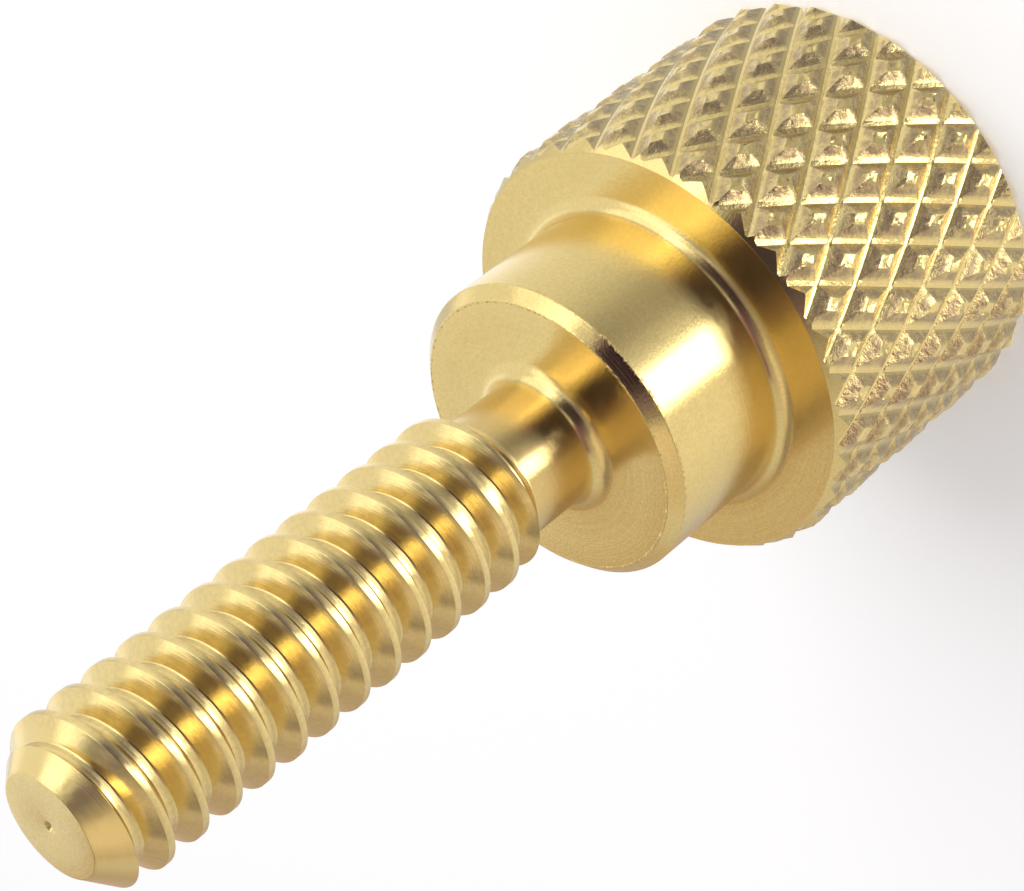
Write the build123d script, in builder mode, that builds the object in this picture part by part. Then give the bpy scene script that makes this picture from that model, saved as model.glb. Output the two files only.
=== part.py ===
from build123d import *
import math
import os

# Thumb screw turned from one brass bar: knurled head, plain collar, relieved neck and a 6-32 thread.
# It stands on the flat end of its head, with the axis along +Z and z = 0 at that end. Sizes are in mm.

INCH = 25.4

# Driving sizes
HEAD_D = 9.25                     # over the flat tops of the knurl
HEAD_H = INCH / 4
COLLAR_D = INCH / 4
COLLAR_H = INCH / 8
SHANK_L = INCH / 2                # from the collar's face to the tip
NECK_L = 1.78                     # from the collar's face to the shoulder of the thread

# Edges
BEVEL_RADIAL = 0.23               # front edge of the head, cut after knurling
BEVEL_AXIAL = 0.33
BACK_CHAMFER = 0.24
COLLAR_CHAMFER = 0.23
COLLAR_FILLET = 0.30              # where the collar rises from the head
NECK_FILLET = 0.35                # where the neck rises from the collar
DIMPLE_D = 0.24                   # mark of the lathe centre in the tip

# Thread, right hand
THREAD_D = 0.138 * INCH           # nominal major diameter
THREAD_PITCH = INCH / 32
THREAD_ANGLE = 60.0
CREST_UNDER = 0.04                # ridge top under the nominal radius
NECK_UNDER = 0.01                 # neck under the thread's root radius
LEAD_IN = 0.64                    # 45 degree chamfer at the tip
THREAD_START = 0.37               # middle of a groove above the collar's face, at angle 0
THREAD_STEPS = 28                 # flat steps in one turn

# Knurl, one set of grooves of each hand
KNURL_PITCH = 0.82                # from groove to groove, square to them
KNURL_ANGLE = 30.0                # from the axis
KNURL_DEPTH = 0.20
KNURL_TIP = 0.26                  # width left flat on each pyramid
KNURL_TURN = -89.1                # angle of one groove crossing, degrees
KNURL_START = 0.71                # height of that crossing

head_r = HEAD_D / 2
collar_r = COLLAR_D / 2
collar_face_z = HEAD_H + COLLAR_H
tip_z = collar_face_z + SHANK_L

# Basic thread form: five eighths of the sharp V deep, with a flat of a quarter pitch at the root
flank = math.tan(math.radians(THREAD_ANGLE / 2))
root_flat = THREAD_PITCH / 4
root_r = THREAD_D / 2 - THREAD_PITCH * 5 / 16 / flank
crest_r = THREAD_D / 2 - CREST_UNDER
flank_h = (crest_r - root_r) * flank
neck_r = root_r - NECK_UNDER
neck_top_z = collar_face_z + NECK_FILLET
shoulder_z = collar_face_z + NECK_L


def around(radius, angle, height):
    """A point at a radius from the axis."""
    return Vector(radius * math.cos(angle), radius * math.sin(angle), height)


def flat(*corners):
    """A flat face with these corners."""
    return Face(Wire.make_polygon(corners))


# Turned blank: the screw before it is knurled and threaded.
# Head and shank stand proud there, with their bevels run out to the proud radius.
head_proud = KNURL_DEPTH
head_blank_r = head_r + head_proud
bevel_run_out = head_proud * BEVEL_AXIAL / BEVEL_RADIAL
shank_blank_r = THREAD_D / 2 + CREST_UNDER
collar_foot = (collar_r + COLLAR_FILLET, HEAD_H)
collar_wall = (collar_r, HEAD_H + COLLAR_FILLET)
neck_foot = (neck_r + NECK_FILLET, collar_face_z)
neck_wall = (neck_r, neck_top_z)
with BuildPart() as blank:
    with BuildSketch(Plane.XZ):
        with BuildLine():
            Polyline(
                (0, 0),
                (head_r - BACK_CHAMFER, 0),
                (head_blank_r, BACK_CHAMFER + head_proud),
                (head_blank_r, HEAD_H - BEVEL_AXIAL - bevel_run_out),
                (head_r - BEVEL_RADIAL, HEAD_H),
                collar_foot,
            )
            RadiusArc(collar_foot, collar_wall, COLLAR_FILLET)
            Polyline(
                collar_wall,
                (collar_r, collar_face_z - COLLAR_CHAMFER),
                (collar_r - COLLAR_CHAMFER, collar_face_z),
                neck_foot,
            )
            RadiusArc(neck_foot, neck_wall, NECK_FILLET)
            Polyline(
                neck_wall,
                (neck_r, shoulder_z),
                (shank_blank_r, shoulder_z + shank_blank_r - neck_r),
                (shank_blank_r, tip_z - LEAD_IN - shank_blank_r + crest_r),
                (crest_r - LEAD_IN, tip_z),
                (DIMPLE_D / 2, tip_z),
                (0, tip_z - DIMPLE_D / 2),
                (0, 0),
            )
        make_face()
    revolve(axis=Axis.Z)

# Knurl: a solid whose side is the pyramids. It ends in a far point below and above, clear of the screw.
# Neighbouring pyramids share the bottom of the groove between them.
knurl_root_r = head_r - KNURL_DEPTH
knurl_mid_r = head_r - KNURL_DEPTH / 2
knurl_lean = math.radians(KNURL_ANGLE)
knurl_starts = round(2 * math.pi * knurl_mid_r * math.cos(knurl_lean) / KNURL_PITCH)
cell_turn = 2 * math.pi / knurl_starts
cell_w = cell_turn * knurl_mid_r
row_h = cell_w / math.tan(knurl_lean) / 2
groove_gap = cell_w * math.cos(knurl_lean)
sharp_r = knurl_root_r + KNURL_DEPTH * groove_gap / (groove_gap - KNURL_TIP)


def row_angle(row, cell):
    """Middle of a pyramid. Every other row is set half a cell round."""
    return math.radians(KNURL_TURN) + (cell + (row + 1) % 2 / 2) * cell_turn


def pyramid(angle, height):
    """Four sides that rise from the groove bottoms to a small flat top."""
    foot = [
        around(knurl_root_r, angle - cell_turn / 2, height),
        around(knurl_root_r, angle, height - row_h),
        around(knurl_root_r, angle + cell_turn / 2, height),
        around(knurl_root_r, angle, height + row_h),
    ]
    point = around(sharp_r, angle, height)
    outward = around(1, angle, 0)
    top = []
    for corner in foot:
        cut = (sharp_r - head_r) / (sharp_r - corner.dot(outward))
        top.append(point + (corner - point) * cut)
    sides = [flat(foot[k - 1], foot[k], top[k], top[k - 1]) for k in range(4)]
    return sides + [flat(*top)]


def zigzag(row, side, corner):
    """A corner of the last row's free edge, which lies at mid height and at a pyramid's end in turn."""
    height = KNURL_START + (row + side * (corner % 2)) * row_h
    return around(knurl_root_r, row_angle(row, (corner - 1) / 2), height)


low_row = -math.ceil(KNURL_START / row_h) - 1
high_row = math.ceil((HEAD_H - KNURL_START) / row_h) + 1
faces = []
for row in range(low_row, high_row + 1):
    for cell in range(knurl_starts):
        faces += pyramid(row_angle(row, cell), KNURL_START + row * row_h)
for row, side, far_z in ((low_row, -1, -4 * tip_z), (high_row, 1, 4 * tip_z)):
    for corner in range(2 * knurl_starts):
        faces.append(flat(zigzag(row, side, corner), zigzag(row, side, corner + 1), Vector(0, 0, far_z)))
knurl = Solid(Shell(faces))

# Threaded rod: the ridge climbs in flat steps, from inside the neck to past the tip.
profile = [
    (root_r, 0),
    (root_r, root_flat),
    (crest_r, root_flat + flank_h),
    (crest_r, THREAD_PITCH - flank_h),
    (root_r, THREAD_PITCH),
]
waste_from = (neck_top_z + shoulder_z) / 2
groove_z = collar_face_z + THREAD_START - root_flat / 2
turns_under = math.ceil((groove_z - waste_from) / THREAD_PITCH) + 1
rod_from = groove_z - turns_under * THREAD_PITCH
rod_steps = THREAD_STEPS * math.ceil((tip_z - rod_from) / THREAD_PITCH)


def on_thread(step, k):
    """Corner k of the thread's profile, some steps up the helix."""
    radius, lift = profile[k]
    turns = step / THREAD_STEPS
    return around(radius, 2 * math.pi * turns, rod_from + THREAD_PITCH * turns + lift)


def one_step(step):
    """The ridge's faces over one step: root and crest are flat, and each flank is folded in two."""
    here = [on_thread(step, k) for k in range(len(profile))]
    there = [on_thread(step + 1, k) for k in range(len(profile))]
    strip = [flat(here[k], there[k], there[k + 1], here[k + 1]) for k in (0, 2)]
    for k in (1, 3):
        strip += [flat(here[k], there[k], there[k + 1]), flat(here[k], there[k + 1], here[k + 1])]
    return strip


def close_end(step, first, k, far):
    """Closes one end of the rod with a wall across the ridge and a fan round one turn."""
    wall = flat(far, *(on_thread(step, n) for n in range(len(profile))))
    fan = [flat(far, on_thread(n, k), on_thread(n + 1, k)) for n in range(first, first + THREAD_STEPS)]
    return [wall] + fan


faces = []
for step in range(rod_steps):
    faces += one_step(step)
over_tip = Vector(0, 0, tip_z + 3 * THREAD_PITCH)
faces += close_end(0, 0, 0, Vector(0, 0, rod_from))
faces += close_end(rod_steps, rod_steps - THREAD_STEPS, len(profile) - 1, over_tip)
rod = Solid(Shell(faces))

# Waste that threading takes off round the rod
waste_l = tip_z + THREAD_PITCH - waste_from
with BuildPart() as waste:
    with Locations((0, 0, waste_from)):
        Cylinder(shank_blank_r + THREAD_PITCH, waste_l, align=(Align.CENTER, Align.CENTER, Align.MIN))
        Cylinder(root_r / 2, waste_l, align=(Align.CENTER, Align.CENTER, Align.MIN), mode=Mode.SUBTRACT)
    add(rod, mode=Mode.SUBTRACT)

with BuildPart() as thumb_screw:
    add(blank.part)
    add(knurl, mode=Mode.INTERSECT)
    add(waste.part, mode=Mode.SUBTRACT)

thumb_screw.part.label = "thumb_screw"
os.makedirs("parts", exist_ok=True)
export_step(thumb_screw.part, "parts/thumb_screw.step")
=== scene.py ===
import math

import bpy
import numpy as np
from mathutils import Matrix, Vector


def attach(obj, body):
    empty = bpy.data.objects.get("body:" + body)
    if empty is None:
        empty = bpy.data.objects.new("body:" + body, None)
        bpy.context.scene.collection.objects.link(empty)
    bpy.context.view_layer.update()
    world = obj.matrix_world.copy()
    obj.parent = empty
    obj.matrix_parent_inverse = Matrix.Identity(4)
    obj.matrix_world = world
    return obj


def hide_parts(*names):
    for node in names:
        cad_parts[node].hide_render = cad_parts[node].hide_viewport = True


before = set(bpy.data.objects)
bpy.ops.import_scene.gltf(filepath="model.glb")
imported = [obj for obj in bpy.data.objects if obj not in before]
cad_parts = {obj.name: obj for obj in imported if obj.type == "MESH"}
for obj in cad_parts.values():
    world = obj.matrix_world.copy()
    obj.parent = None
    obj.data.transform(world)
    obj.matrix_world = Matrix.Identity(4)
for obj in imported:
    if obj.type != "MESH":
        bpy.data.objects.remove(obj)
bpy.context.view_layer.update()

# Thumb screw on its head, axis along +Z. Sizes in mm as in the part's source, and metres only in the mesh.
MM = 0.001
TURN = 2 * math.pi
HEAD_R = 4.625
HEAD_H = 6.35
BEVEL_RADIAL = 0.23
BEVEL_AXIAL = 0.33
BACK_CHAMFER = 0.24
COLLAR_R = 3.175
COLLAR_FACE = 9.525
COLLAR_CHAMFER = 0.23
COLLAR_FILLET = 0.30
NECK_FILLET = 0.35
SHOULDER = 11.305
TIP = 22.225
PITCH = 25.4 / 32
THREAD_ANGLE = 60.0
ROOT_R = 1.3226
CREST_R = 1.7126
NECK_R = ROOT_R - 0.01
LEAD_IN = 0.64
THREAD_START = 0.37               # middle of a groove above the collar's face, at angle 0
DIMPLE_R = 0.12
DIMPLE_DEPTH = 0.1

# Small rounds, which the part's source leaves sharp
CHAMFER_ROUND = 0.025
TIP_ROUND = 0.03
CREST_ROUND = 0.014
ROOT_ROUND = 0.05

# Knurl
KNURL_STARTS = 30                 # grooves of each hand
KNURL_TURN = -89.1                # angle of one groove crossing, degrees
KNURL_START = 0.71                # height of that crossing
KNURL_ROW = 0.8207                # half the height of one diamond
KNURL_GAP = 0.8207                # from groove to groove, square to them
KNURL_SLOPE = 0.714               # rise of a groove's side
KNURL_DEEPEST = 0.2
LAST_GROOVE = (0.19, 0.030, 0.10)     # depth, half the width of the flat bottom, and the bottom's tilt
FIRST_GROOVE = (0.165, 0.055, 0.20)
TOP_AT = 0.275                    # from a groove's middle to where a pyramid's top begins
TOP_RIM = 0.06                    # width of the rim round the crater in that top
CRATER, CRATER_LUMPS, CRATER_GRIT = 0.012, 0.03, 0.02     # its depth, and what lumps and grit add
SKIN, TORN_SKIN = 0.006, 0.010    # roughness of the surface, and more of it on the tops

RING = 240                        # corners round the turned surfaces
THREAD_RING = 96                  # steps in one turn of the thread
SPARE_ROWS = 1.2                  # how far the knurl's lattice reaches past the head before it is cut
SPARE_TURNS = 2                   # and the thread past the shoulder and the tip
JOIN = 0.03                       # gap that is left between two patches, and filled by a band
SNAP = 0.0001                     # a corner this near to a cut lies on it
ON_BEVEL = 0.0005                 # and one this near to a bevel is on the bevel
ON_CHAMFER = 0.02                 # how far the chamfer's rounded corners may lie from its sharp ones
SHARP_ANGLE = 24.0                # edges with more of a bend are drawn sharp


# Mesh tools. A surface is an array of rows x, y, z, lay. On a turned or threaded surface, lay is the length
# along the profile in mm, and its tool lines follow it. On the knurl, it is 1 on the sides of the pyramids.


def split(points, corners, height):
    """Cuts triangles where height, one number per point, passes zero, and returns all three again."""
    height = np.where(np.abs(height) < SNAP, 0.0, height)
    side = np.sign(height)[corners]
    crossed = (side.min(axis=1) < 0) & (side.max(axis=1) > 0)
    rows, made, extra = [], {}, []

    def cut(a, b):
        key = (min(a, b), max(a, b))
        if key not in made:
            t = height[a] / (height[a] - height[b])
            made[key] = len(points) + len(extra)
            extra.append(points[a] + (points[b] - points[a]) * t)
        return made[key]

    for tri in corners[crossed]:
        signs = [np.sign(height[v]) for v in tri]
        if 0 in signs:
            k = signs.index(0)
        else:
            k = next(n for n in range(3) if signs[n] != signs[n - 1] and signs[n] != signs[n - 2])
        a, b, c = (int(tri[(k + n) % 3]) for n in range(3))
        if 0 in signs:
            m = cut(b, c)
            rows += [(a, b, m), (a, m, c)]
        else:
            m, n = cut(a, b), cut(a, c)
            rows += [(a, m, n), (m, b, c), (m, c, n)]
    if not extra:
        return points, corners, height
    points = np.vstack([points, extra])
    height = np.concatenate([height, np.zeros(len(extra))])
    return points, np.vstack([corners[~crossed], np.array(rows, int)]), height


def keep_below(points, corners, height):
    """Cuts along height zero and drops what lies above it."""
    points, corners, height = split(points, corners, height)
    return points, corners[height[corners].sum(axis=1) < 0]


def radius_of(points):
    return np.hypot(points[:, 0], points[:, 1])


def pared(points, corners, limit):
    """Pares a surface down to limit(z), a radius, with clean edges where the two meet."""
    points, corners, _ = split(points, corners, radius_of(points) - limit(points[:, 2]))
    scale = np.minimum(1.0, limit(points[:, 2]) / radius_of(points))
    points[:, 0] *= scale
    points[:, 1] *= scale
    return points, corners


def rounded(path, radii, steps):
    """A path of (r, z) with its corners rounded by arcs of these radii, 0 for a sharp one."""
    out = []
    for k, (corner, radius) in enumerate(zip(path, radii)):
        corner = Vector(corner)
        if radius == 0:
            out.append(tuple(corner))
            continue
        back = (Vector(path[k - 1]) - corner).normalized()
        on = (Vector(path[(k + 1) % len(path)]) - corner).normalized()
        half = back.angle(on) / 2
        centre = corner + (back + on).normalized() * (radius / math.sin(half))
        reach = radius / math.tan(half)
        first, last = corner + back * reach - centre, corner + on * reach - centre
        for n in range(steps + 1):
            t = n / steps
            out.append(tuple(centre + (first * (1 - t) + last * t).normalized() * radius))
    return out


def smooth_noise(points, size, seed):
    """Value noise between -1 and 1 with lumps of this size in mm. The large numbers scramble the bits."""
    q = points[:, :3] / size
    cell = np.floor(q).astype(np.int64)
    t = q - cell
    t = t * t * (3 - 2 * t)
    total = np.zeros(len(points))
    for dx in (0, 1):
        for dy in (0, 1):
            for dz in (0, 1):
                c = cell + (dx, dy, dz)
                h = c[:, 0] * 73856093 ^ c[:, 1] * 19349663 ^ c[:, 2] * 83492791 ^ seed * 2654435761
                h = (h ^ (h >> 13)) * 1274126177 & 0x7FFFFFFF
                value = (h ^ (h >> 16)) % 65536 / 32768 - 1
                w = np.where(dx, t[:, 0], 1 - t[:, 0]) * np.where(dy, t[:, 1], 1 - t[:, 1])
                total += value * w * np.where(dz, t[:, 2], 1 - t[:, 2])
    return total


# Finishes, which are also the numbers of the mesh's materials
TURNED, KNURLED, THREADED = 0, 1, 2


class Surface:
    """Collects patches of one mesh. Two neighbours share the corners along the ring where they meet."""

    def __init__(self):
        self.points, self.corners, self.finish, self.count = [], [], [], 0

    def add(self, points, corners, finish):
        """Adds a patch and returns the number of its first point."""
        first = self.count
        self.points.append(points)
        self.fill(corners + first, finish)
        self.count += len(points)
        return first

    def fill(self, corners, finish):
        """Adds triangles between points that are there already."""
        self.corners.append(corners)
        self.finish.append(np.full(len(corners), finish))

    def lay_of(self, ring):
        return float(np.vstack(self.points)[ring[0], 3])

    def loop_at(self, height, first, last):
        """Points from first to last on the open edge at this height, in order round the axis."""
        points = np.vstack(self.points)
        corners = np.vstack(self.corners)
        corners = corners[(corners >= first).all(axis=1) & (corners < last).all(axis=1)]
        edges = np.vstack([corners[:, [0, 1]], corners[:, [1, 2]], corners[:, [2, 0]]])
        edges = np.sort(edges[edges[:, 0] != edges[:, 1]], axis=1)
        edges, times = np.unique(edges, axis=0, return_counts=True)
        ring = np.unique(edges[times == 1])
        ring = ring[np.abs(points[ring, 2] - height) < 2 * SNAP]
        return ring[np.argsort(np.arctan2(points[ring, 1], points[ring, 0]))]

    def join(self, low, high):
        """Fills the turned band between two rings round +Z, where low comes first along the outline."""
        points = np.vstack(self.points)
        turn = [np.arctan2(points[r, 1], points[r, 0]) for r in (low, high)]
        i = j = 0
        rows = []
        while i < len(low) or j < len(high):
            next_low = turn[0][(i + 1) % len(low)] + (TURN if i + 1 >= len(low) else 0)
            next_high = turn[1][(j + 1) % len(high)] + (TURN if j + 1 >= len(high) else 0)
            a, b = low[i % len(low)], high[j % len(high)]
            if j >= len(high) or (i < len(low) and next_low <= next_high):
                rows.append((a, low[(i + 1) % len(low)], b))
                i += 1
            else:
                rows.append((a, high[(j + 1) % len(high)], b))
                j += 1
        self.fill(np.array(rows), TURNED)

    def lathe(self, path):
        """Adds the turned surface of a path of (r, z), and returns the numbers of each ring's points."""
        lay = 0.0
        rings = []
        angle = -math.pi + (np.arange(RING) + 0.5) / RING * TURN
        for k, (r, z) in enumerate(path):
            if k:
                lay += math.dist(path[k - 1], path[k])
            if r == 0:
                points = np.array([[0, 0, z, lay]])
            else:
                level = [np.full(RING, z), np.full(RING, lay)]
                points = np.stack([r * np.cos(angle), r * np.sin(angle), *level], axis=1)
            first = self.add(points, np.zeros((0, 3), int), TURNED)
            rings.append(first + np.arange(len(points)))
        for low, high in zip(rings, rings[1:]):
            rows = []
            for k in range(RING):
                n = (k + 1) % RING
                if len(low) == 1:
                    rows.append((low[0], high[n], high[k]))
                elif len(high) == 1:
                    rows.append((low[k], low[n], high[0]))
                else:
                    rows += [(low[k], low[n], high[n]), (low[k], high[n], high[k])]
            self.fill(np.array(rows), TURNED)
        return rings


screw = Surface()

# Knurl: a lattice whose lines run along both sets of grooves, p and q. The p grooves were rolled last and
# deepest. On each side of a groove's middle, the lines of the lattice lie at these distances, in mm.
LINES = [0, 0.030, 0.055, 0.16, 0.27, 0.305, 0.355]
# share holds the places of one cell's lines, from 0 to 1.
half_cell = [s / KNURL_GAP for s in LINES]
share = np.array(half_cell + [0.5] + [1 - s for s in half_cell[:0:-1]])
CELL = len(share)


def knurl_lattice():
    """The lattice's points as (p + q, p - q), which meet again round the head, and its triangles."""
    wrap = KNURL_STARTS * CELL
    low = int((-KNURL_START - SPARE_ROWS) / KNURL_ROW * CELL)
    high = int((HEAD_H - KNURL_START + SPARE_ROWS) / KNURL_ROW * CELL)
    numbers, rows = {}, []

    def number(p, q):
        return numbers.setdefault((p + q, (p - q) % (2 * wrap)), len(numbers))

    for total in range(low, high):
        for across in range(total % 2, 2 * wrap, 2):
            p, q = (total + across) // 2, (total - across) // 2
            a, b = number(p, q), number(p + 1, q)
            c, d = number(p + 1, q + 1), number(p, q + 1)
            if (p % CELL < CELL / 2) == (q % CELL < CELL / 2):
                rows += [(a, b, c), (a, c, d)]
            else:
                rows += [(a, b, d), (b, c, d)]
    return np.array(list(numbers)), np.array(rows)


def groove(across, deep, half, tilt):
    """Depth of a groove by the signed distance from its middle."""
    away = np.abs(across)
    side = deep + np.sign(across) * half * tilt - KNURL_SLOPE * (away - half)
    return np.where(away <= half, deep + tilt * across, side)


def knurl_patch():
    """The knurled surface: the lattice laid round the head and pushed in to its depth."""
    keys, rows = knurl_lattice()
    line_p, line_q = (keys[:, 0] + keys[:, 1]) // 2, (keys[:, 0] - keys[:, 1]) // 2
    p = line_p // CELL + share[line_p % CELL]
    q = line_q // CELL + share[line_q % CELL]
    angle = math.radians(KNURL_TURN) + (p - q) / 2 * TURN / KNURL_STARTS
    z = KNURL_START + (p + q) * KNURL_ROW
    across_p = ((p + 0.5) % 1 - 0.5) * KNURL_GAP
    across_q = ((q + 0.5) % 1 - 0.5) * KNURL_GAP
    nearest = np.minimum(np.abs(across_p), np.abs(across_q))
    blank = np.stack([HEAD_R * np.cos(angle), HEAD_R * np.sin(angle), z], axis=1)

    # Each top is a shallow crater with torn skin, deeper on some pyramids than on others
    dip = CRATER + CRATER_LUMPS * np.clip(smooth_noise(blank, 0.9, 5), 0, 1)
    dip += CRATER_GRIT * smooth_noise(blank, 0.07, 6)
    crater = np.clip((nearest - TOP_AT) / TOP_RIM, 0, 1) * dip
    in_groove, on_top = nearest < 0.1, nearest > 0.24
    torn = TORN_SKIN * (1 + smooth_noise(blank, 0.11, 8)) * on_top
    rough = np.where(in_groove, 0, SKIN * (1 + smooth_noise(blank, 0.12, 7)) + torn)
    depth = np.maximum(groove(across_p, *LAST_GROOVE), groove(across_q, *FIRST_GROOVE))
    r = HEAD_R - np.clip(np.maximum(depth, crater) + rough, 0, KNURL_DEEPEST)
    flank = np.clip((nearest - 0.05) / 0.05, 0, 1) * np.clip((0.29 - nearest) / 0.04, 0, 1)
    return np.stack([r * np.cos(angle), r * np.sin(angle), z, flank], axis=1), rows


def front_bevel(z):
    return HEAD_R - BEVEL_RADIAL * (z - HEAD_H + BEVEL_AXIAL) / BEVEL_AXIAL


def back_bevel(z):
    return HEAD_R - BACK_CHAMFER + z


points, corners = knurl_patch()
points, corners = keep_below(points, corners, points[:, 2] - HEAD_H)
points, corners = keep_below(points, corners, -points[:, 2])
points, corners = pared(points, corners, front_bevel)
points, corners = pared(points, corners, back_bevel)
# Where a bevel cut the knurl away, the head is turned, with its tool lines by radius
away = radius_of(points)
turned = np.minimum(front_bevel(points[:, 2]), back_bevel(points[:, 2])) - away < ON_BEVEL
points[turned, 3] = -away[turned]
knurl_first = screw.add(points, corners, KNURLED)
screw.finish[-1][turned[corners].all(axis=1)] = TURNED
knurl_last = screw.count

# Thread: one profile of (r, height) swept up a helix, cut off at the shoulder and near the tip, and pared to
# the cone at the neck and the lead-in
flank_h = (CREST_R - ROOT_R) * math.tan(math.radians(THREAD_ANGLE / 2))
root_flat = PITCH / 4
ridge = [
    (ROOT_R, 0),
    (ROOT_R, root_flat),
    (CREST_R, root_flat + flank_h),
    (CREST_R, PITCH - flank_h),
    (ROOT_R, PITCH),
    (ROOT_R, PITCH + root_flat),
]


def thread_patch():
    """The threaded surface: the profile's points, turn by turn, from middle to middle of the root."""
    ring = [(ROOT_R, root_flat / 2)]
    ring += rounded(ridge, [0, ROOT_ROUND, CREST_ROUND, CREST_ROUND, ROOT_ROUND, 0], 4)[1:-1]
    size = len(ring)
    lays = [0.0]
    for k in range(1, size):
        lays.append(lays[-1] + math.dist(ring[k - 1], ring[k]))
    base = COLLAR_FACE + THREAD_START - root_flat / 2
    steps = int((TIP - base + 2 * SPARE_TURNS * PITCH) / PITCH * THREAD_RING)
    points, rows = [], []
    for n in range(steps):
        turn = n / THREAD_RING - SPARE_TURNS
        angle = TURN * turn
        for (r, lift), lay in zip(ring, lays):
            points.append((r * math.cos(angle), r * math.sin(angle), base + PITCH * turn + lift, lay))
    for n in range(steps - 1):
        for k in range(size):
            a, d = n * size + k, (n + 1) * size + k
            b, c = a + 1, d + 1
            if k + 1 == size:
                # The profile's last point meets the first one of the next turn
                if n + 1 + THREAD_RING >= steps:
                    continue
                b, c = (n + THREAD_RING) * size, (n + 1 + THREAD_RING) * size
            rows += [(a, d, c), (a, c, b)]
    return np.array(points), np.array(rows)


def neck_cone(z):
    return NECK_R + z - SHOULDER


def lead_in(z):
    return CREST_R - LEAD_IN + TIP - z


tip_edge = TIP - JOIN
points, corners = thread_patch()
points, corners = keep_below(points, corners, points[:, 2] - tip_edge)
points, corners = keep_below(points, corners, SHOULDER - points[:, 2])
points, corners = pared(points, corners, neck_cone)
points, corners = pared(points, corners, lead_in)
thread_first = screw.add(points, corners, THREADED)
thread_last = screw.count

# Turned surfaces: the back, from the head's face to the neck, and the tip.
# Bare radii and heights are rings in between, which keep the triangles even.
back = screw.lathe([(0, 0), (2.2, 0), (HEAD_R - BACK_CHAMFER - 0.05, 0)])
front_path = rounded(
    [
        (HEAD_R - BEVEL_RADIAL - 0.02, HEAD_H),
        (4.1, HEAD_H),
        (3.8, HEAD_H),
        (COLLAR_R, HEAD_H),
        (COLLAR_R, 8.0),
        (COLLAR_R, COLLAR_FACE - COLLAR_CHAMFER),
        (COLLAR_R - COLLAR_CHAMFER, COLLAR_FACE),
        (2.4, COLLAR_FACE),
        (NECK_R, COLLAR_FACE),
        (NECK_R, 10.4),
        (NECK_R, SHOULDER - JOIN),
    ],
    [0, 0, 0, COLLAR_FILLET, 0, CHAMFER_ROUND, CHAMFER_ROUND, 0, NECK_FILLET, 0, 0],
    10,
)
front = screw.lathe(front_path)
edge_r = lead_in(tip_edge)
tip_path = rounded(
    [
        (edge_r - 0.004, tip_edge + 0.004),
        (edge_r - JOIN, TIP),
        (0.7, TIP),
        (DIMPLE_R, TIP),
        (0, TIP - DIMPLE_DEPTH),
    ],
    [0, TIP_ROUND, 0, TIP_ROUND, 0],
    4,
)
tip = screw.lathe(tip_path)

screw.join(back[-1], screw.loop_at(0.0, knurl_first, knurl_last))
screw.join(screw.loop_at(HEAD_H, knurl_first, knurl_last), front[0])
screw.join(front[-1], screw.loop_at(SHOULDER, thread_first, thread_last))
screw.join(screw.loop_at(tip_edge, thread_first, thread_last), tip[0])

# Lays of the chamfer's first and last ring, and of the ring where the neck begins
chamfer_z, chamfer_r = COLLAR_FACE - COLLAR_CHAMFER - ON_CHAMFER, COLLAR_R - COLLAR_CHAMFER - ON_CHAMFER
on_chamfer = [k for k, (r, z) in enumerate(front_path) if z > chamfer_z and r > chamfer_r]
CHAMFER_LAY = [screw.lay_of(front[k]) for k in (on_chamfer[0], on_chamfer[-1])]
NECK_LAY = screw.lay_of(front[next(k for k, (r, z) in enumerate(front_path) if r < NECK_R + 0.001)])

points = np.vstack(screw.points)
corners = np.vstack(screw.corners)
finish = np.concatenate(screw.finish)
used, corners = np.unique(corners, return_inverse=True)
corners = corners.reshape(-1, 3)
points = points[used]
whole = (corners != np.roll(corners, 1, axis=1)).all(axis=1)
corners, finish = corners[whole], finish[whole]

mesh = bpy.data.meshes.new("screw_body")
mesh.from_pydata((points[:, :3] * MM).tolist(), [], corners.tolist())
mesh.attributes.new("lay", "FLOAT", "POINT").data.foreach_set("value", points[:, 3].astype(np.float32))
mesh.polygons.foreach_set("material_index", finish.astype(np.int32))
mesh.polygons.foreach_set("use_smooth", [True] * len(corners))
mesh.update()
mesh.set_sharp_from_angle(angle=math.radians(SHARP_ANGLE))
body = bpy.data.objects.new("screw_body", mesh)
bpy.context.scene.collection.objects.link(body)


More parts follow.
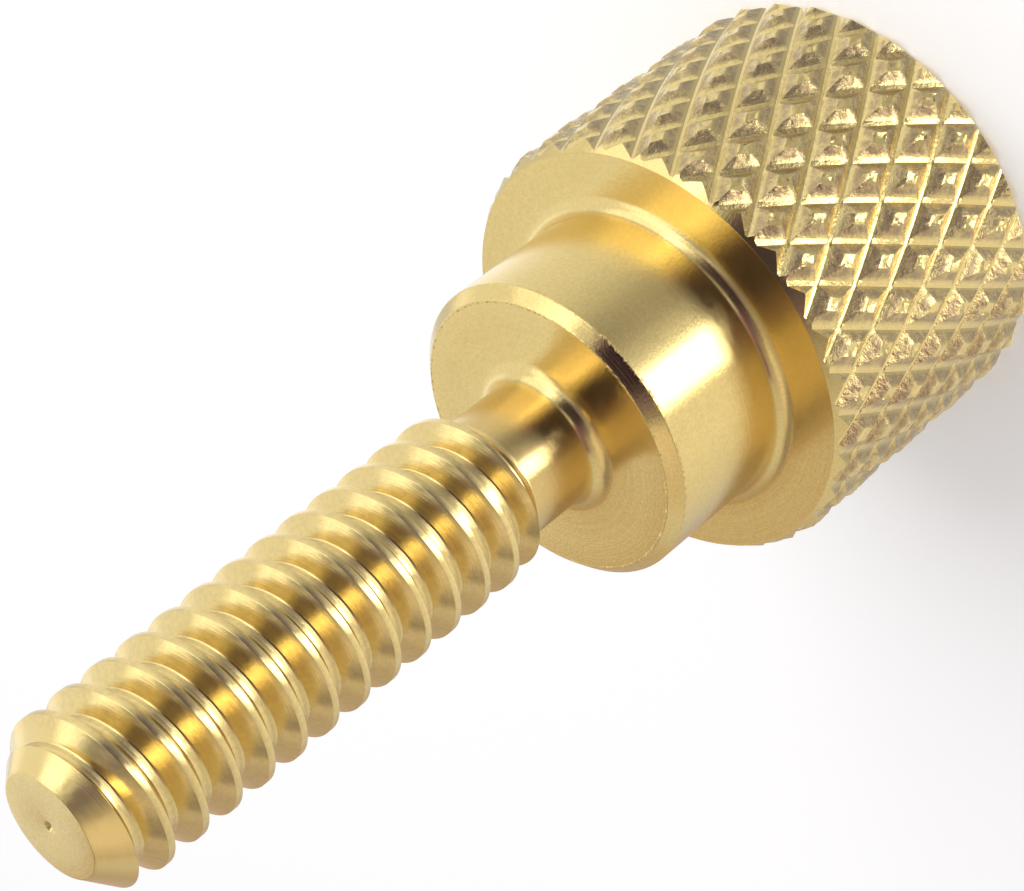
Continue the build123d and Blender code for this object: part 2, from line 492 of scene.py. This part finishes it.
class Nodes:
    """Short forms for making and linking nodes."""

    def __init__(self, tree):
        self.tree = tree
        self.tree.nodes.clear()

    def new(self, kind, settings=None, **inputs):
        """A node with these settings. Inputs go by name, with _ for a space, or by number as i0."""
        node = self.tree.nodes.new(kind)
        for name, value in (settings or {}).items():
            setattr(node, name, value)
        for name, value in inputs.items():
            key = int(name[1:]) if name[0] == "i" and name[1:].isdigit() else name.replace("_", " ")
            self.put(node, key, value)
        return node

    def put(self, node, key, value):
        socket = node.inputs[key]
        if isinstance(value, bpy.types.NodeSocket):
            self.tree.links.new(value, socket)
        else:
            socket.default_value = value

    def math(self, operation, a, b=0.0):
        return self.new("ShaderNodeMath", {"operation": operation}, i0=a, i1=b).outputs[0]

    def times(self, a, b):
        return self.math("MULTIPLY", a, b)

    def step(self, value, low, high, a=0.0, b=1.0):
        """Goes smoothly from a at low to b at high, where high may be the smaller number."""
        node = self.new("ShaderNodeMapRange", {"interpolation_type": "SMOOTHSTEP"}, Value=value,
                        From_Min=low, From_Max=high, To_Min=a, To_Max=b)
        return node.outputs[0]

    def within(self, value, low, high, soft):
        """1 from low to high, falling to 0 over a width outside them."""
        return self.times(self.step(value, low - soft, low), self.step(value, high + soft, high))

    def mix(self, share, a, b):
        return self.new("ShaderNodeMix", {"data_type": "RGBA"}, i0=share, i6=a, i7=b).outputs[2]

    def mix_value(self, share, a, b):
        return self.new("ShaderNodeMix", {"data_type": "FLOAT"}, i0=share, i2=a, i3=b).outputs[0]

    def noise(self, vector, scale, detail=3.0, rough=0.5):
        node = self.new("ShaderNodeTexNoise", None, Vector=vector, Scale=scale, Detail=detail,
                        Roughness=rough)
        return node.outputs[0]


# Brass: colours, with painted shade for the knurl's pyramid sides and for the neck, and by finish the weight
# of the thin dull film, the range of roughness, how much the specks stand out, and the bump's strength and
# distance in metres
DEEP_BRASS, PALE_BRASS = (0.79, 0.605, 0.235, 1), (0.85, 0.665, 0.275, 1)
KNURL_FLANK_SHADE, THREAD_DULL = (0.42, 0.30, 0.165, 1), (0.60, 0.45, 0.22, 1)
DARK_GRAIN, NECK_SHADE = (0.68, 0.51, 0.19, 1), (0.60, 0.42, 0.17, 1)
FILM = {TURNED: 0.45, KNURLED: 0.8, THREADED: 0.8}
FILM_ROUGHNESS = 0.5
ROUGHNESS = {TURNED: (0.11, 0.15), KNURLED: (0.10, 0.16), THREADED: (0.06, 0.10)}
SPECKS = {TURNED: 0.5, THREADED: 0.12}
BUMP = {TURNED: (0.35, 0.000010), KNURLED: (0.7, 0.000022), THREADED: (0.5, 0.000010)}


def fine_noise(n, place):
    return n.noise(place, 5200.0, 3.0, 0.6)


def grain_noise(n, place):
    return n.noise(place, 16000.0, 2.0, 0.6)


def knurl_marks_and_shade(n, place, lay, colour):
    """Pits, and painted shade in patches on the sides of the pyramids. Returns colour, roughness, height."""
    pits = n.noise(place, 7000.0, 4.0, 0.7)
    shade_patches = n.step(n.noise(place, 5200.0, 4.0, 0.7), 0.36, 0.58, 0.25, 1.0)
    # Painted shade: the sides of the pyramids are darkened in noisy patches
    colour = n.mix(n.times(shade_patches, n.step(lay, 0.2, 0.8, 0.0, 0.8)), colour, KNURL_FLANK_SHADE)
    rough = n.math("ADD", n.step(pits, 0.35, 0.65, *ROUGHNESS[KNURLED]), n.times(lay, 0.16))
    return colour, rough, n.math("ADD", pits, n.times(fine_noise(n, place), 0.8))


def tool_lines(n, place, lay, finish):
    """Lines round the axis that the tool left. Returns roughness and height."""
    across = n.new("ShaderNodeCombineXYZ", None, X=lay, Y=0.0, Z=0.0).outputs[0]
    line = n.noise(across, 11.0, 5.0, 0.8)
    rough = n.step(fine_noise(n, place), 0.3, 0.7, *ROUGHNESS[finish])
    rough = n.math("ADD", rough, n.times(line, 0.05))
    return rough, n.math("ADD", n.times(line, 0.8), n.times(grain_noise(n, place), SPECKS[finish]))


def thread_stains(n, place, colour):
    """Dull stains in the thread, but not on its lead-in."""
    up = n.new("ShaderNodeSeparateXYZ", None, Vector=place).outputs[2]
    stains = n.step(n.noise(place, 9000.0, 4.0, 0.75), 0.42, 0.62, 0.0, 0.3)
    under_tip = n.step(up, (TIP - LEAD_IN) * MM, (TIP - LEAD_IN - 0.1) * MM)
    return n.mix(n.times(stains, under_tip), colour, THREAD_DULL)


def turned_colour(n, place, lay, colour):
    """A satin grain, and painted shade that darkens the neck."""
    colour = n.mix(n.step(grain_noise(n, place), 0.35, 0.65, 0.35, 0.0), colour, DARK_GRAIN)
    # Painted shade on the neck, from where it leaves the fillet up to the shoulder
    return n.mix(n.step(lay, NECK_LAY - 0.1, NECK_LAY + 0.1, 0.0, 0.5), colour, NECK_SHADE)


def chamfer_marks(n, place, lay, rough, height):
    """A smoother chamfer on the collar, with burrs along its rims. Returns roughness and height."""
    rough = n.mix_value(n.within(lay, *CHAMFER_LAY, 0.01), rough, 0.09)
    rims = n.math("MAXIMUM", *(n.within(lay, at, at, 0.05) for at in CHAMFER_LAY))
    burr = n.times(rims, n.step(n.noise(place, 13000.0, 3.0, 0.7), 0.52, 0.60))
    return rough, n.math("ADD", height, n.times(burr, 2.6))


def brass(name, finish):
    """Brass with the marks of its making: turned lines, a rolled knurl or a cut thread, and painted shade on
    the knurl's pyramid sides and on the neck.
    """
    material = bpy.data.materials.new(name)
    material.use_nodes = True
    n = Nodes(material.node_tree)
    shader = n.new("ShaderNodeBsdfPrincipled", None, Metallic=1.0)
    n.put(shader, "Coat Weight", FILM[finish])
    n.put(shader, "Coat Roughness", FILM_ROUGHNESS)
    place = n.new("ShaderNodeTexCoord").outputs["Object"]
    lay = n.new("ShaderNodeAttribute", {"attribute_name": "lay"}).outputs["Fac"]
    colour = n.mix(n.noise(place, 420.0, 2.0), DEEP_BRASS, PALE_BRASS)
    if finish == KNURLED:
        colour, rough, height = knurl_marks_and_shade(n, place, lay, colour)
    else:
        rough, height = tool_lines(n, place, lay, finish)
        n.put(shader, "Anisotropic", 0.9)
        n.put(shader, "Anisotropic Rotation", 0.25)
        tangent = n.new("ShaderNodeTangent", {"direction_type": "RADIAL", "axis": "Z"})
        n.put(shader, "Tangent", tangent.outputs[0])
    if finish == THREADED:
        colour = thread_stains(n, place, colour)
    if finish == TURNED:
        colour = turned_colour(n, place, lay, colour)
        rough, height = chamfer_marks(n, place, lay, rough, height)
    strength, distance = BUMP[finish]
    bump = n.new("ShaderNodeBump", None, Strength=strength, Distance=distance, Height=height)
    n.put(shader, "Base Color", colour)
    n.put(shader, "Roughness", rough)
    n.put(shader, "Normal", bump.outputs[0])
    n.new("ShaderNodeOutputMaterial", None, Surface=shader.outputs[0])
    return material


mesh.materials.append(brass("brass_turned", TURNED))
mesh.materials.append(brass("brass_knurled", KNURLED))
mesh.materials.append(brass("brass_threaded", THREADED))

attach(body, "root")
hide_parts("thumb_screw")

# Studio: a pale floor, one large soft lamp, and a dome of walls, softboxes and dark flags, which the brass
# reflects
floor_mesh = bpy.data.meshes.new("floor")
floor_mesh.from_pydata([(-1, -1, 0), (1, -1, 0), (1, 1, 0), (-1, 1, 0)], [], [(0, 1, 2, 3)])
floor = bpy.data.objects.new("floor", floor_mesh)
bpy.context.scene.collection.objects.link(floor)
floor.visible_glossy = False
paper = bpy.data.materials.new("paper")
paper.use_nodes = True
n = Nodes(paper.node_tree)
matt = n.new("ShaderNodeBsdfDiffuse", None, Color=(0.94, 0.94, 0.94, 1))
camera_only = n.times(n.new("ShaderNodeLightPath").outputs["Is Camera Ray"], 0.16)
glow = n.new("ShaderNodeEmission", None, Color=(1, 1, 1, 1), Strength=camera_only)
both = n.new("ShaderNodeAddShader", None, i0=matt.outputs[0], i1=glow.outputs[0])
n.new("ShaderNodeOutputMaterial", None, Surface=both.outputs[0])
floor_mesh.materials.append(paper)

world = bpy.context.scene.world or bpy.data.worlds.new("studio")
bpy.context.scene.world = world
world.use_nodes = True
sky = Nodes(world.node_tree)
way = sky.new("ShaderNodeTexCoord").outputs["Generated"]
x, y, z = sky.new("ShaderNodeSeparateXYZ", None, Vector=way).outputs
rays = sky.new("ShaderNodeLightPath")
# Degrees round the axis: 0 towards the camera, 90 towards +X
bearing = sky.times(sky.math("ARCTAN2", x, sky.times(y, -1.0)), 180 / math.pi)


def ramp(value, low, high, stops):
    """A level that runs straight between (value, level) stops, scaled because the curve node ends at 1."""
    node = sky.new("ShaderNodeFloatCurve")
    curve = node.mapping.curves[0]
    top = max(level for _, level in stops)
    places = [((v - low) / (high - low), level / top) for v, level in stops]
    curve.points[0].location = places[0]
    curve.points[1].location = places[-1]
    for px, py in places[1:-1]:
        curve.points.new(px, py)
    for point in curve.points:
        point.handle_type = "VECTOR"
    node.mapping.update()
    mapped = sky.new("ShaderNodeMapRange", None, Value=value, From_Min=low, From_Max=high)
    sky.put(node, "Value", mapped.outputs[0])
    sky.put(node, "Factor", 1.0)
    return sky.times(node.outputs[0], top)


def band(value, low, high, soft):
    """1 between low and high, and 0 outside, with soft edges half inside."""
    return sky.times(sky.step(value, low - soft, low + soft), sky.step(value, high + soft, high - soft))


def over(under, *cards):
    """Lays cards over what is under them. Each is a level and the masks that it shows through."""
    for level, *masks in cards:
        mask = masks[0]
        for other in masks[1:]:
            mask = sky.times(mask, other)
        under = sky.mix_value(mask, under, level)
    return under


# Each card is a level, then where it is: bands of bearing in degrees, and of the direction's x, y and z.
# These are below the horizon.
shade = sky.times(band(bearing, -2, 37, 4.0), band(z, -0.475, -0.16, 0.025))
slant = sky.math("ADD", bearing, sky.times(sky.math("ADD", z, 0.44), -87.0))
low_level = ramp(bearing, -180, 180, [
    (-180, 0.72), (-165, 0.57), (-150, 0.58), (-134, 0.68), (-118, 0.82), (-102, 0.90), (-86, 1.0),
    (-70, 1.08), (-40, 1.1), (-4, 1.2), (10, 0.72), (18, 0.53), (26, 0.46), (42, 0.50), (58, 0.64),
    (74, 0.82), (90, 0.90), (106, 0.96), (122, 1.05), (138, 1.2), (154, 1.25), (168, 1.05), (180, 0.72),
])
low_level = over(
    low_level,
    (0.15, shade),
    (1.05, band(bearing, 46, 120, 5.0), band(z, -0.48, -0.30, 0.05)),
    (0.50, band(bearing, 58, 112, 6.0), sky.step(z, -0.24, -0.16)),
    (1.35, band(bearing, 56, 82, 5.0), band(z, -0.35, -0.20, 0.04)),
    (0.75, band(bearing, 118, 165, 8.0), sky.step(z, -0.48, -0.40)),
    (0.72, band(bearing, -125, -30, 10.0), sky.step(z, -0.48, -0.40)),
    (0.52, sky.step(z, -0.66, -0.80)),
    (6.0, band(bearing, -36, -8, 4.0), band(z, -0.72, -0.51, 0.03)),
    (4.5, band(slant, -25, -10, 3.0), band(z, -0.50, -0.28, 0.03)),
)

# And these above it, where the zenith goes by x instead of the bearing
zenith = ramp(x, -1, 1, [
    (-1, 0.80), (-0.6, 0.74), (-0.44, 0.66), (-0.32, 0.58), (-0.19, 0.43), (-0.05, 0.28), (0.09, 0.28),
    (0.23, 0.34), (0.36, 0.60), (0.46, 1.8), (0.58, 2.6), (1, 2.6),
])
zenith = over(zenith, (1.2, sky.step(x, 0.36, 0.44), sky.step(y, -0.02, 0.12)))
wine = sky.times(band(bearing, -16, 35, 5.0), band(z, 0.68, 0.84, 0.03))
high_level = ramp(bearing, -180, 180, [
    (-180, 0.88), (-177.5, 0.72), (-176, 0.58), (-165, 0.54), (-147, 0.54), (-138, 0.64), (-114, 0.78),
    (-89, 0.76), (-70, 0.66), (-58, 0.52), (-47, 0.44), (-33, 0.26), (-18, 0.11), (-8, 0.06), (18, 0.06),
    (25, 0.14), (31, 0.50), (37, 1.0), (43, 1.8), (50, 2.8), (57, 2.7), (64, 2.0), (74, 1.45), (84, 1.15),
    (92, 1.06), (101, 1.0), (118, 1.0), (130, 1.0), (150, 1.0), (176, 0.98), (180, 0.88),
])
high_level = over(
    high_level,
    (1.5, band(bearing, 54, 100, 5.0), sky.step(z, 0.60, 0.50)),
    (0.36, band(bearing, -155, -116, 6.0), sky.step(z, 0.50, 0.60)),
    (1.2, band(bearing, 130, 176, 6.0), sky.step(z, 0.34, 0.20)),
    (0.92, band(bearing, -102, -48, 8.0), sky.step(z, 0.57, 0.66)),
    (1.9, band(bearing, 62, 98, 5.0), sky.step(z, 0.58, 0.64)),
    (1.35, band(bearing, 98, 126, 5.0), sky.step(z, 0.70, 0.76)),
    (zenith, sky.step(z, 0.84, 0.90)),
    (1.7, sky.step(x, 0.20, 0.28), sky.step(y, 0.12, 0.20), sky.step(z, 0.76, 0.82)),
    (0.8, band(bearing, 36, 58, 4.0), sky.step(z, 0.62, 0.70)),
    (0.03, wine),
)

# Only reflections see the cards. Other light from the dome is even, and the camera sees white.
plum = sky.times(band(bearing, -60, -12, 6.0), band(z, -0.13, 0.16, 0.03))
level = over(low_level, (high_level, sky.step(z, -0.04, 0.04)), (0.26, plum))
level = over(0.6, (level, rays.outputs["Is Glossy Ray"]))
level = over(level, (1.0, rays.outputs["Is Camera Ray"]), (1.0, rays.outputs["Is Transmission Ray"]))

# Tints of the reflections: warm at the back on the -X side, and purple to blue in the dark cards
behind = sky.times(sky.step(x, -0.02, -0.06), sky.step(y, 0.55, 0.75))
behind = sky.times(behind, sky.step(x, -0.5, -0.1, 0.55, 1.0))
warm = sky.math("MAXIMUM", behind, sky.step(x, -0.1, -0.5, 0.0, 0.12))
warm_high = sky.times(sky.step(x, 0.0, -0.3, 0.0, 0.45), sky.step(z, 0.3, 0.5))
warm = sky.times(sky.math("MAXIMUM", warm, warm_high), rays.outputs["Is Glossy Ray"])
tint = sky.mix(warm, (1, 1, 1, 1), (1, 0.74, 0.50, 1))
tint = sky.mix(sky.step(level, 0.40, 0.15), tint, (1, 0.72, 1.05, 1))
tint = sky.mix(sky.times(shade, band(z, -0.46, -0.34, 0.02)), tint, (1, 0.95, 2.0, 1))
tint = sky.mix(sky.math("MAXIMUM", plum, wine), tint, (1, 0.42, 0.9, 1))
dome = sky.new("ShaderNodeBackground", None, Color=tint, Strength=level)
sky.new("ShaderNodeOutputWorld", None, Surface=dome.outputs[0])

lamp_data = bpy.data.lights.new("softbox", "AREA")
lamp_data.shape = "RECTANGLE"
lamp_data.size, lamp_data.size_y = 0.20, 0.14
lamp_data.energy = 0.26
lamp = bpy.data.objects.new("softbox", lamp_data)
bpy.context.scene.collection.objects.link(lamp)
LAMP_DISTANCE = 0.22
lamp_from = Vector((0.65, -0.14, 0.74)).normalized()
lamp.location = lamp_from * LAMP_DISTANCE
lamp.rotation_mode = "QUATERNION"
lamp.rotation_quaternion = lamp_from.to_track_quat("Z", "Y")
lamp.visible_camera = False
lamp.visible_glossy = False

# Camera: its place and directions as fitted to the photograph
CAMERA_Y, CAMERA_Z = -47.2960 * MM, 42.0014 * MM
forward = Vector((0.0047198, 0.8302995, -0.5572975))
up = Vector((0.7862951, -0.3474059, -0.5109296))
right = forward.cross(up).normalized()
up = right.cross(forward).normalized()
camera_data = bpy.data.cameras.new("camera")
camera_data.sensor_fit = "HORIZONTAL"
camera_data.sensor_width = 36.0
camera_data.lens = 106.641
camera_data.clip_start = 0.001
camera_data.clip_end = 10.0
camera = bpy.data.objects.new("camera", camera_data)
bpy.context.scene.collection.objects.link(camera)
camera.matrix_world = Matrix((
    (right.x, up.x, -forward.x, 0.0),
    (right.y, up.y, -forward.y, CAMERA_Y),
    (right.z, up.z, -forward.z, CAMERA_Z),
    (0, 0, 0, 1),
))
bpy.context.scene.camera = camera
bpy.context.scene.view_settings.view_transform = "Standard"
